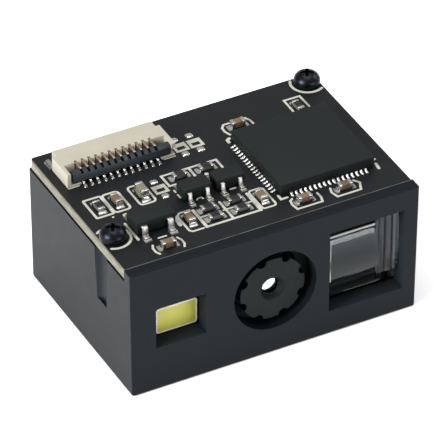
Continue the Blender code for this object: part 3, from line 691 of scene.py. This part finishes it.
# Printed lines on the board: width, points
PRINT_LINES = (
    (0.14, ((-9.9, 3.1), (-9.15, 3.1))),
    (0.14, ((-2.8, 3.12), (-2.0, 3.12))),
    (0.18, ((-2.98, 1.2), (-2.98, 1.5), (-3.88, 1.5), (-3.88, 0.28), (-3.42, 0.28))),
    (0.18, ((-2.25, 1.15), (-2.25, 1.5), (-1.0, 1.5), (-1.0, 1.2))),
    (0.2, ((-1.84, 1.5), (-1.84, 0.3))),
    (0.18, ((-0.35, 1.2), (-0.35, 1.5), (0.22, 1.5), (0.22, 0.3))),
    (0.14, ((-3.83, -0.3), (-3.83, -0.52))),
    (0.14, ((-3.83, -0.8), (-3.83, -1.18))),
    (0.14, ((-2.98, -1.9), (-2.85, -1.78), (-2.58, -1.78), (-2.54, -1.95))),
    (0.16, ((-0.48, -1.88), (-0.1, -1.88))),
    (0.25, ((-3.75, -2.82), (-3.75, -4.83))),
    (0.2, ((-1.78, -2.82), (-1.78, -4.83))),
    (0.25, ((0.25, -2.82), (0.25, -4.83))),
    (0.2, ((-3.75, -4.83), (0.25, -4.83))),
    (0.15, ((-3.6, -3.72), (-3.0, -3.72))),
    (0.15, ((-1.95, -3.72), (-1.25, -3.72))),
    (0.15, ((-0.12, -3.72), (0.2, -3.72))),
    (
        0.17,
        ((-3.95, -2.68), (-4.72, -2.68), (-4.97, -2.95), (-4.97, -4.65), (-4.8, -4.84), (-4.0, -4.84)),
    ),
    (0.3, ((-5.22, -3.85), (-5.16, -3.35), (-4.99, -2.98))),
    (0.17, ((-7.83, -4.98), (-7.97, -5.28), (-7.97, -5.72), (-7.82, -6.02))),
    (0.17, ((-6.02, -4.95), (-5.88, -5.28), (-5.88, -5.72), (-6.03, -6.02))),
    (0.15, ((-7.12, -4.45), (-6.58, -4.45))),
    (
        0.17,
        (
            (2.62, -4.72), (2.42, -4.85), (2.33, -5.3), (2.42, -5.87), (4.28, -5.87), (4.42, -5.4),
            (4.4, -4.9),
        ),
    ),
    (
        0.17,
        (
            (5.4, -4.85), (5.28, -5.3), (5.42, -5.87), (7.18, -5.87), (7.28, -5.6), (7.47, -5.15),
            (7.2, -4.78),
        ),
    ),
    (0.17, ((2.95, 4.75), (2.5, 4.75), (2.25, 4.45), (2.22, 4.0), (2.38, 3.55))),
    (0.17, ((4.15, 4.8), (4.34, 4.4), (4.37, 4.0))),
    (0.24, ((2.12, 3.2), (1.92, 3.08), (1.9, 2.8))),
    (0.2, ((1.97, -3.97), (1.97, -4.42), (2.42, -4.42))),
    (0.22, ((9.42, -3.82), (9.36, -4.38))),
    (0.17, ((7.4, 3.4), (7.42, 5.32), (8.62, 5.32), (8.64, 3.4))),
    (0.2, ((-8.37, -2.05), (-8.37, -4.0))),
    (0.14, ((-7.8, -1.1), (-8.0, -1.14), (-8.05, -1.82))),
)

# Printed outlines with round corners: low corner, high corner, corner radius, width
PRINT_FRAMES = (
    ((-9.72, -0.7), (-8.48, 1.4), 0.08, 0.18),
    ((-8.38, -0.7), (-7.2, 1.4), 0.25, 0.18),
    ((-6.5, -0.75), (-5.35, 1.4), 0.25, 0.16),
    ((0.42, -4.8), (1.45, -2.66), 0.22, 0.16),
)

# Printed blocks with a slot, between two bare pads: centres
PRINT_BLOCKS = ((-4.58, 0.25), (-1.24, 3.8), (-0.12, 3.8))
BARE_PADS = (
    (-4.6, 1.16), (-4.6, -0.56), (-1.27, 4.72), (-0.12, 4.72), (-1.27, 3.0), (-0.12, 3.0),
)
# Printed dots: x, y, radius
PRINT_DOTS = ((-1.08, 0.35, 0.14), (9.6, -3.34, 0.09), (-8.72, -1.05, 0.08))
PRINT_LOW = BOARD_TOP + 0.002
PRINT_HEIGHT = 0.012
PRINT_SPREAD = 0.92  # the ink dries a little narrower than it was drawn
PRINT_STEP = 0.0002  # each line sits this much higher than the last, so that none share a face


def make_print():
    """White print: lines, frames, slotted blocks, dots and the rings round the two screws."""
    shape = bmesh.new()
    level = BOARD_TOP + PRINT_HEIGHT
    lines = [(width, points, False) for width, points in PRINT_LINES]
    lines += [
        (width, rounded_outline(low, high, radius, 3), True) for low, high, radius, width in PRINT_FRAMES
    ]
    lines.append((0.2, arc((-9.75, -3.08), 1.17, -122, 126, 28), False))
    lines.append((0.2, arc((9.84, 6.48), 1.17, 146, 300, 20), False))
    for x, y in PRINT_BLOCKS:
        block = ((x - 0.4, y - 0.36), (x + 0.4, y - 0.36), (x + 0.4, y + 0.36), (x - 0.4, y + 0.36))
        lines.append((0.22, block, True))
        lines.append((0.26, ((x - 0.32, y + 0.2), (x + 0.32, y + 0.2)), False))
    for width, points, closed in lines:
        ribbon(shape, points, width * PRINT_SPREAD, PRINT_LOW, level, closed)
        level += PRINT_STEP
    for x, y, radius in PRINT_DOTS:
        drum(shape, (x, y), radius, PRINT_LOW, level, 24)
    piece("board_print", shape, SILK)


def solder_dome(shape, x, y, long, wide, height):
    """A bare pad with a low dome of solder, squarer in plan than an ellipse."""
    squareness = 0.6
    made = bmesh.new()
    bmesh.ops.create_uvsphere(made, u_segments=24, v_segments=12, radius=1.0)
    for vert in made.verts:
        vert.co.x = math.copysign(abs(vert.co.x) ** squareness, vert.co.x)
        vert.co.y = math.copysign(abs(vert.co.y) ** squareness, vert.co.y)
    bmesh.ops.scale(made, vec=(long / 2, wide / 2, height), verts=made.verts)
    bmesh.ops.translate(made, vec=(x, y, BOARD_TOP), verts=made.verts)
    joined(shape, made)


def make_bare_pads():
    """The soldered pads on either side of the printed blocks."""
    shape = bmesh.new()
    for x, y in BARE_PADS:
        solder_dome(shape, x, y, 0.56, 0.5, 0.1)
    piece("bare_pads", shape, SOLDER)


# ---------------------------------------------------------------- chip parts


def fillet(shape, base, along, half_width, length, height):
    """Solder curving down from a part's end to its pad. base is the foot of the end, along points away."""
    steps = 6
    curve = [(0.0, 0.0), (length, 0.0)]
    for step in range(1, steps + 1):
        angle = math.pi / 2 * step / steps
        curve.append((length * (1 - math.sin(angle)), height * (1 - math.cos(angle))))
    made = bmesh.new()
    across = Vector((-along[1], along[0]))
    rows = []
    for side, shrink in ((-1, 0.82), (-0.7, 1.0), (0.7, 1.0), (1, 0.82)):
        row = []
        for out, up in curve:
            spot = Vector(base) + Vector(along) * out * shrink + across * side * half_width
            row.append(made.verts.new((spot.x, spot.y, BOARD_TOP + up * shrink)))
        rows.append(row)
    for row, after in zip(rows, rows[1:]):
        for index in range(len(curve)):
            following = (index + 1) % len(curve)
            made.faces.new((row[index], row[following], after[following], after[index]))
    made.faces.new(rows[0])
    made.faces.new(rows[-1])
    bmesh.ops.recalc_face_normals(made, faces=made.faces)
    joined(shape, made)


CAP_GAP = 0.012  # the ceramic sits this far inside its end caps
PART_PAD = 0.29  # how far a chip part's pad reaches past its end
TALL_CAPACITOR = 8


def make_chip_part(node, paint, glaze=None):
    """A ceramic brick with tinned end caps, its pads and its solder; a resistor has a glaze on top."""
    low, high = low_high(node)
    size = high - low
    axis = 1 if size.y > size.x else 0
    across = 1 - axis
    band = 0.2 if glaze else 0.24
    ceramic = bmesh.new()
    inner_low = low.copy()
    inner_high = high.copy()
    inner_low[axis] += 0.05
    inner_high[axis] -= 0.05
    for side in (across, 2):
        inner_low[side] += CAP_GAP
        inner_high[side] -= CAP_GAP
    box(ceramic, inner_low, inner_high, 0.03)
    piece(node + "_body", ceramic, paint, stands_for=(node,))
    if glaze:
        coat = bmesh.new()
        coat_low = inner_low.copy()
        coat_high = inner_high.copy()
        coat_low[axis] += band - 0.04
        coat_high[axis] -= band - 0.04
        coat_low.z = inner_high.z - 0.02
        coat_high.z = high.z - 0.001
        box(coat, coat_low, coat_high, 0.008)
        piece(node + "_glaze", coat, glaze)
    ends = bmesh.new()
    for sign in (-1, 1):
        cap_low = low.copy()
        cap_high = high.copy()
        if sign < 0:
            cap_high[axis] = low[axis] + band
        else:
            cap_low[axis] = high[axis] - band
        cap_low.z = BOARD_TOP + 0.012
        box(ends, cap_low, cap_high, 0.045)
        end = [0.0, 0.0]
        end[axis] = (low if sign < 0 else high)[axis] - sign * 0.03
        end[across] = (low[across] + high[across]) / 2
        direction = [0.0, 0.0]
        direction[axis] = float(sign)
        half = size[across] / 2
        fillet(ends, end, direction, half + 0.01, 0.27, size.z * 0.62)
        pad_low = [0.0, 0.0]
        pad_high = [0.0, 0.0]
        pad_low[axis] = end[axis] + (0.0 if sign > 0 else -PART_PAD)
        pad_high[axis] = end[axis] + (PART_PAD if sign > 0 else 0.0)
        pad_low[across] = end[across] - half - 0.05
        pad_high[across] = end[across] + half + 0.05
        outline = rounded_outline(pad_low, pad_high, 0.07)
        prism(ends, outline, BOARD_TOP + PAD_LIFT, BOARD_TOP + 0.014)
    piece(node + "_ends", ends, SOLDER)


def make_chip_parts():
    """Seven brown capacitors, the tall olive one and eight resistors."""
    for number in range(1, 9):
        if number == TALL_CAPACITOR:
            make_chip_part(f"capacitor_{number}", OLIVE)
        else:
            make_chip_part(f"capacitor_{number}", BROWN)
        make_chip_part(f"resistor_{number}", ALUMINA, RESISTOR)


# ---------------------------------------------------------------- packages

# Gull-wing packages: x, y, body (x, y, z), lead pitch, lead width, lead exit height, lead tip reach
GULL_WING = {
    "logic_chip_left": (-2.82, -1.2, (2.1, 1.25, 0.95), 0.65, 0.28, 0.68, 1.1),
    "logic_chip_right": (-0.38, -1.2, (2.1, 1.25, 0.95), 0.65, 0.28, 0.68, 1.1),
    "voltage_regulator": (-6.9, -2.92, (2.9, 1.6, 1.08), 0.95, 0.42, 0.78, 1.42),
}
LEAD_THICKNESS = 0.13
LEAD_LIFT = 0.03  # a lead's foot sits on this much solder
BODY_LIFT = 0.08  # gap under a gull-wing body
DRAFT = 0.13  # how much a body's sides lean in for each unit of height from its waist


def gull_lead(reach, exit_height, inner):
    """Outline of a lead from inside the body to its foot: (outward, height) points with round bends."""
    thick = LEAD_THICKNESS
    knee = reach - 0.45
    top = exit_height
    upper = [(inner, top), (knee - 0.06, top), (knee + 0.02, top - 0.03), (knee + 0.06, top - 0.1)]
    upper += [(knee + 0.13, thick + 0.07), (knee + 0.19, thick + 0.01), (reach, thick)]
    lower = [(reach, 0.0), (knee + 0.1, 0.0), (knee + 0.03, 0.05), (knee - 0.05, top - thick - 0.05)]
    lower += [(knee - 0.1, top - thick), (inner, top - thick)]
    return upper + lower


def make_gull_wing(node):
    """A moulded body with two leads in front and three behind, each on its pad."""
    x, y, (long, wide, high), pitch, lead_width, exit_height, reach = GULL_WING[node]
    body = bmesh.new()
    bmesh.ops.create_cube(body, size=1.0)
    bmesh.ops.scale(body, vec=(long, wide, high - BODY_LIFT), verts=body.verts)
    bmesh.ops.translate(body, vec=(0, 0, (high + BODY_LIFT) / 2), verts=body.verts)
    waist = exit_height - LEAD_THICKNESS / 2
    everything = body.verts[:] + body.edges[:] + body.faces[:]
    bmesh.ops.bisect_plane(body, geom=everything, plane_co=(0, 0, waist), plane_no=(0, 0, 1))
    for vert in body.verts:
        lean = DRAFT * abs(vert.co.z - waist)
        vert.co.x -= math.copysign(lean, vert.co.x)
        vert.co.y -= math.copysign(lean, vert.co.y)
    sharp = [edge for edge in body.edges if edge.calc_face_angle(0.0) > math.radians(40)]
    bmesh.ops.bevel(body, geom=sharp, offset=0.05, segments=3, affect="EDGES", profile=0.5)
    bmesh.ops.translate(body, vec=(x, y, BOARD_TOP), verts=body.verts)
    piece(node + "_body", body, EPOXY, stands_for=(node,))
    leads = bmesh.new()
    for index in range(3):
        centre = x + pitch * (index - 1)
        for side in (-1, 1):
            if side < 0 and index == 1:  # the front row has no middle lead
                continue
            outline = [
                (y + side * out, BOARD_TOP + LEAD_LIFT + up)
                for out, up in gull_lead(reach, exit_height, wide / 2 - 0.1)
            ]
            prism(leads, outline, centre - lead_width / 2, centre + lead_width / 2, "X", 0.02, 2, 50)
            foot = (centre, y + side * (reach - 0.02))
            half = lead_width / 2 + 0.06
            fillet(leads, foot, (0.0, float(side)), half, 0.22, 0.12)
            pad_ends = sorted((foot[1] - side * 0.4, foot[1] + side * 0.26))
            pad = rounded_outline((centre - half, pad_ends[0]), (centre + half, pad_ends[1]), 0.06)
            prism(leads, pad, BOARD_TOP + PAD_LIFT, BOARD_TOP + LEAD_LIFT)
    piece(node + "_leads", leads, LEAD_TIN)


CHIP_PINS = 17  # on each side
CHIP_PITCH = 0.35
CHIP_REACH = 3.49  # from the chip's middle to where its pads come out


def make_decoder_chip():
    """Flat no-lead package: thin body, and a row of pads with solder on each side."""
    low, high = low_high("decoder_chip")
    body = bmesh.new()
    box(body, (low.x, low.y, BOARD_TOP + 0.02), high, 0.05, 3)
    piece("decoder_chip_body", body, EPOXY, stands_for=("decoder_chip",))
    pads = bmesh.new()
    for index in range(CHIP_PINS):
        offset = CHIP_PITCH * (index - (CHIP_PINS - 1) / 2)
        for along in ((-1.0, 0.0), (1.0, 0.0), (0.0, -1.0), (0.0, 1.0)):
            out = Vector(along)
            across = Vector((-out.y, out.x))
            foot = Vector(CHIP_CENTRE) + out * CHIP_REACH + across * offset
            pin = (foot - out * 0.1, foot + out * 0.24)
            ribbon(pads, pin, 0.1, BOARD_TOP + PAD_LIFT, BOARD_TOP + 0.08)
            fillet(pads, foot + out * 0.13, along, 0.073, 0.31, 0.18)
    piece("decoder_chip_pads", pads, PIN_TIN)


# ---------------------------------------------------------------- connector


def make_connector():
    """Body, flip lock with its moulding mark, twelve contacts, two anchors and their solder."""
    softened("fpc_connector_body", CREAM, 0.02, segments=1)
    lock = softened("fpc_flip_lock", LOCK, 0.03, "flip_lock")
    top = low_high("fpc_flip_lock")[1].z
    carve(lock, [box_cutter("lock_mark", (-6.4, 3.22, top - 0.09), (-5.55, 3.4, top + 0.1))])
    pads = bmesh.new()
    for number in range(1, 13):
        node = f"fpc_contact_{number:02d}"
        softened(node, BRONZE, 0.02, segments=1)
        low, high = low_high(node)
        x = (low.x + high.x) / 2
        foot = low.y + 0.01
        fillet(pads, (x, foot), (0.0, -1.0), 0.09, 0.11, 0.12)
        ribbon(pads, ((x, foot - 0.04), (x, foot + 0.2)), 0.18, BOARD_TOP + PAD_LIFT, BOARD_TOP + 0.02)
    for side in ("left", "right"):
        node = "fpc_anchor_" + side
        softened(node, LEAD_TIN, 0.02, segments=1)
        low, high = low_high(node)
        outline = rounded_outline((low.x - 0.08, low.y + 0.1), (high.x + 0.08, high.y + 0.1), 0.06)
        prism(pads, outline, BOARD_TOP + PAD_LIFT, BOARD_TOP + 0.02)
        fillet(pads, ((low.x + high.x) / 2, high.y - 0.02), (0.0, 1.0), 0.16, 0.14, 0.16)
    piece("connector_solder", pads, SOLDER)


# ---------------------------------------------------------------- screws


CROWN_STEPS = 12
TALLER_HEAD = 0.1  # how much higher than the CAD's the head is
CROSS_TURN = -0.49  # how the cross recess is turned, in radians


def make_screw(node):
    """A domed head with a cross recess, and its shank."""
    x, y = SCREWS[node]
    radius = 0.92
    rim = 0.25
    seat = BOARD_TOP + 0.03
    head = low_high(node)[1].z - seat + TALLER_HEAD
    crown = [(0.0, head)]
    for step in range(1, CROWN_STEPS + 1):
        angle = math.pi / 2 * step / CROWN_STEPS
        crown.append((radius * math.sin(angle), rim + (head - rim) * math.cos(angle)))
    profile = crown + [(radius, 0.05), (radius - 0.05, 0.0), (0.42, 0.0), (0.42, -4.2), (0.0, -4.6)]
    shape = bmesh.new()
    lathe(shape, profile, (0, 0, 0), 64)
    upright = Matrix.Rotation(-math.pi / 2, 3, "X")
    bmesh.ops.rotate(shape, cent=(0, 0, 0), matrix=upright, verts=shape.verts)
    bmesh.ops.translate(shape, vec=(x, y, seat), verts=shape.verts)
    made = piece(node + "_look", shape, SCREW, stands_for=(node,))
    over, deep = head + 0.2, head - 0.45
    arms = []
    for turn in (CROSS_TURN, math.pi / 2 + CROSS_TURN):
        arm = bmesh.new()
        prism(arm, ((-0.56, over), (-0.34, deep), (0.34, deep), (0.56, over)), -0.11, 0.11, "Y")
        bmesh.ops.rotate(arm, cent=(0, 0, 0), matrix=Matrix.Rotation(turn, 3, "Z"), verts=arm.verts)
        bmesh.ops.translate(arm, vec=(x, y, seat), verts=arm.verts)
        arms.append(cutter(f"{node}_arm_{turn:.1f}", arm))
    carve(made, arms)
    soften(made, 0.02)


# ---------------------------------------------------------------- lens


DOME_STEPS = 14


def domed(radius, rise, rim):
    """(radius, forward) points of a dome from its crown to its rim."""
    sphere = (radius * radius + rise * rise) / (2 * rise)
    reach = math.asin(radius / sphere)
    angles = [reach * step / DOME_STEPS for step in range(DOME_STEPS + 1)]
    return [(sphere * math.sin(a), rim + sphere * math.cos(a) - sphere + rise) for a in angles]


NOTCHES = 8
NOTCH_RADIUS = 0.36
NOTCH_REACH = 2.44  # from the optical axis to a notch's middle
FIRST_NOTCH = 20  # degrees


def make_lens():
    """The notched barrel, its front glass, and finished materials for what lies behind."""
    place = (AXIS_X, 0, AXIS_Z)
    barrel = bmesh.new()
    lathe(
        barrel,
        (
            (0.62, 6.72), (0.66, 6.78), (0.82, 6.93), (0.9, 7.02), (0.96, 7.04), (2.35, 7.04),
            (2.4, 7.02), (2.42, 6.97), (2.42, 2.95), (1.66, 2.95), (1.66, 6.6), (0.62, 6.6),
        ),
        place,
        160,
        closed=True,
    )
    made = piece(
        "lens_barrel_look", barrel, LENS_BLACK, "lens_barrel_body", ("lens_barrel",)
    )
    notches = []
    for index in range(NOTCHES):
        angle = math.radians(FIRST_NOTCH + 360 / NOTCHES * index)
        centre = (AXIS_X + NOTCH_REACH * math.cos(angle), AXIS_Z + NOTCH_REACH * math.sin(angle))
        notches.append(drum_cutter(f"notch_{index}", centre, NOTCH_RADIUS, -7.5, -6.25, 40, axis="Y"))
    carve(made, notches)
    soften(made, 0.03)
    front = bmesh.new()
    lathe(front, domed(1.62, 0.3, 6.22) + [(1.62, 5.55), (0.0, 5.55)], place)
    piece("front_glass_look", front, MIRROR_GLASS, "lens_optics", ("front_glass",))
    repaint("rear_glass", COATED_GLASS)
    repaint("glass_spacer", LENS_BLACK)
    repaint("lens_holder", CAVITY)


# ---------------------------------------------------------------- windows


def make_led():
    """White package with its yellow phosphor, which reaches a little over the package's rim."""
    softened("illumination_led", LED_WHITE, 0.05)
    low, high = low_high("led_phosphor")
    over = 0.03
    outline = rounded_outline((low.x - over, low.z - over), (high.x + over, high.z + over), 0.2, 6)
    fill = bmesh.new()
    prism(fill, outline, low.y, high.y, "Y", 0.02)
    piece("led_phosphor_look", fill, PHOSPHOR, stands_for=("led_phosphor",))


def make_aimer():
    """Clear aimer lens, with thin pale strips on its ledge, its left end and its foot that are painted
    highlights.
    """
    softened("aimer_lens", CLEAR_RESIN_PAINTED_LIGHT, 0.04)
    # Three thin pale strips, painted highlights: along the ledge, down the lens's left end and along its
    # foot.
    edge = bmesh.new()
    box(edge, (4.16, FRONT + 0.43, 7.52), (7.66, FRONT + 0.47, 7.66), 0.015)
    box(edge, (4.28, FRONT + 0.42, 3.9), (4.37, FRONT + 0.47, 7.15), 0.015)
    box(edge, (5.8, INNER_FRONT + 0.02, 2.065), (8.6, INNER_FRONT + 0.04, 2.08))
    piece("aimer_lens_painted_highlights", edge, RESIN_HIGHLIGHT)


def make_inside():
    """Finished materials for the CAD nodes inside the housing, which stay as they are."""
    for node in ("sensor_board", "illumination_board", "aimer_board"):
        repaint(node, SOLDER_MASK)
    repaint("sensor_header", HOUSING)
    repaint("aimer_aperture_plate", APERTURE_BLACK)
    repaint("aimer_led", ALUMINA)
    repaint("infrared_filter", COATED_GLASS)
    repaint("image_sensor", EPOXY)


# ---------------------------------------------------------------- studio


CAMERA_PLACE = (-0.13257, -0.24957, 0.21742)  # metres
CAMERA_FORWARD = (0.37549, 0.70656, -0.59981)
CAMERA_UP = (0.27755, 0.53175, 0.80013)
FOCAL_LENGTH = 425.2  # millimetres, for a sensor 36 mm wide
WORLD_STRENGTH = 0.55


def make_camera():
    """The main view: from the front left and above, through a long lens."""
    data = bpy.data.cameras.new("camera")
    data.sensor_width = 36.0
    data.lens = FOCAL_LENGTH
    data.clip_start = 0.01
    data.clip_end = 10.0
    camera = bpy.data.objects.new("camera", data)
    bpy.context.scene.collection.objects.link(camera)
    forward = Vector(CAMERA_FORWARD).normalized()
    up = Vector(CAMERA_UP).normalized()
    right = forward.cross(up)
    turn = Matrix((right, right.cross(forward), -forward)).transposed()
    camera.matrix_world = Matrix.Translation(CAMERA_PLACE) @ turn.to_4x4()
    bpy.context.scene.camera = camera


def area_light(name, place, target, size, power):
    """A soft box; places and sizes in metres, power in watts."""
    data = bpy.data.lights.new(name, "AREA")
    data.shape = "RECTANGLE"
    data.size, data.size_y = size
    data.energy = power
    light = bpy.data.objects.new(name, data)
    bpy.context.scene.collection.objects.link(light)
    light.location = place
    light.rotation_euler = (Vector(target) - Vector(place)).to_track_quat("-Z", "Y").to_euler()


def make_studio():
    """White floor, white surroundings and four soft boxes."""
    shape = bmesh.new()
    bmesh.ops.create_grid(shape, x_segments=1, y_segments=1, size=1.2)
    mesh = bpy.data.meshes.new("floor")
    shape.to_mesh(mesh)
    shape.free()
    floor = bpy.data.objects.new("floor", mesh)
    floor.location.z = -0.00002  # metres: the object stands just clear of it
    bpy.context.scene.collection.objects.link(floor)
    white = (0.93, 0.93, 0.93)
    paint = Paint("floor_paint", white, 0.9, Specular_IOR_Level=0.2)
    paint.colour(paint.noise(40, 2.0), shades(white, 0.01))
    mesh.materials.append(paint.material)
    world = bpy.data.worlds.new("studio")
    world.use_nodes = True
    background = world.node_tree.nodes["Background"]
    background.inputs["Color"].default_value = (1, 1, 1, 1)
    background.inputs["Strength"].default_value = WORLD_STRENGTH
    bpy.context.scene.world = world
    area_light("top", (0.02, 0.02, 0.42), (0, 0, 0.01), (0.3, 0.3), 1.05)
    area_light("left", (-0.32, -0.06, 0.16), (0, 0, 0.005), (0.16, 0.16), 2.3)
    area_light("front", (0.14, -0.36, 0.047), (0, 0, 0.02), (0.18, 0.09), 0.38)
    area_light("right", (0.36, -0.02, 0.25), (0.05, 0, 0), (0.16, 0.16), 0.55)
    bpy.context.scene.view_settings.view_transform = "Standard"


make_camera()
make_studio()
make_housing()
make_board()
make_print()
make_bare_pads()
make_chip_parts()
for chip in GULL_WING:
    make_gull_wing(chip)
make_decoder_chip()
make_connector()
for screw in SCREWS:
    make_screw(screw)
make_lens()
make_led()
make_aimer()
make_inside()
